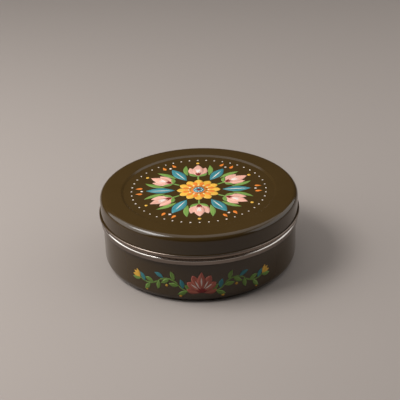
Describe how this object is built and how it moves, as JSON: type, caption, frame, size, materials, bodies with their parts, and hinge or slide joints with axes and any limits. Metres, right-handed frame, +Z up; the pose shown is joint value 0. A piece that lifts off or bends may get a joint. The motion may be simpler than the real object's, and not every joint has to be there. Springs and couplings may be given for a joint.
{
  "type": "spice box",
  "caption": "Round painted steel spice box with a push-on lid, bare rolled edges, and loose steel cups and a spoon inside.",
  "frame": {"origin": "middle of the flat base, on the surface that the box stands on", "axes": "+Z up along the box's axis; -Y to the front; +X to the right seen from the front"},
  "size_m": [0.2034, 0.2034, 0.074],
  "materials": {
    "enamel": "satin",
    "steel": "polished"
  },
  "bodies": {
    "container": {"container": "enamel"},
    "lid": {"lid": "enamel"},
    "centre_cup": {"centre_cup": "steel"},
    "ring_cup_1": {"ring_cup_1": "steel"},
    "ring_cup_2": {"ring_cup_2": "steel"},
    "ring_cup_3": {"ring_cup_3": "steel"},
    "ring_cup_4": {"ring_cup_4": "steel"},
    "ring_cup_5": {"ring_cup_5": "steel"},
    "ring_cup_6": {"ring_cup_6": "steel"},
    "spoon": {"spoon": "steel"}
  },
  "joints": [
    {"name": "lid_lift", "type": "slide", "parent": "container", "child": "lid", "axis": [0, 0, 1], "range_m": [0, 0.15]},
    {"name": "centre_cup_lift", "type": "slide", "parent": "container", "child": "centre_cup", "axis": [0, 0, 1], "range_m": [0, 0.011]},
    {"name": "spoon_lift", "type": "slide", "parent": "centre_cup", "child": "spoon", "axis": [0, 0, 1], "range_m": [0, 0.011]},
    {"name": "ring_cup_1_lift", "type": "slide", "parent": "container", "child": "ring_cup_1", "axis": [0, 0, 1], "range_m": [0, 0.022]},
    {"name": "ring_cup_2_lift", "type": "slide", "parent": "container", "child": "ring_cup_2", "axis": [0, 0, 1], "range_m": [0, 0.022]},
    {"name": "ring_cup_3_lift", "type": "slide", "parent": "container", "child": "ring_cup_3", "axis": [0, 0, 1], "range_m": [0, 0.022]},
    {"name": "ring_cup_4_lift", "type": "slide", "parent": "container", "child": "ring_cup_4", "axis": [0, 0, 1], "range_m": [0, 0.022]},
    {"name": "ring_cup_5_lift", "type": "slide", "parent": "container", "child": "ring_cup_5", "axis": [0, 0, 1], "range_m": [0, 0.022]},
    {"name": "ring_cup_6_lift", "type": "slide", "parent": "container", "child": "ring_cup_6", "axis": [0, 0, 1], "range_m": [0, 0.022]}
  ]
}
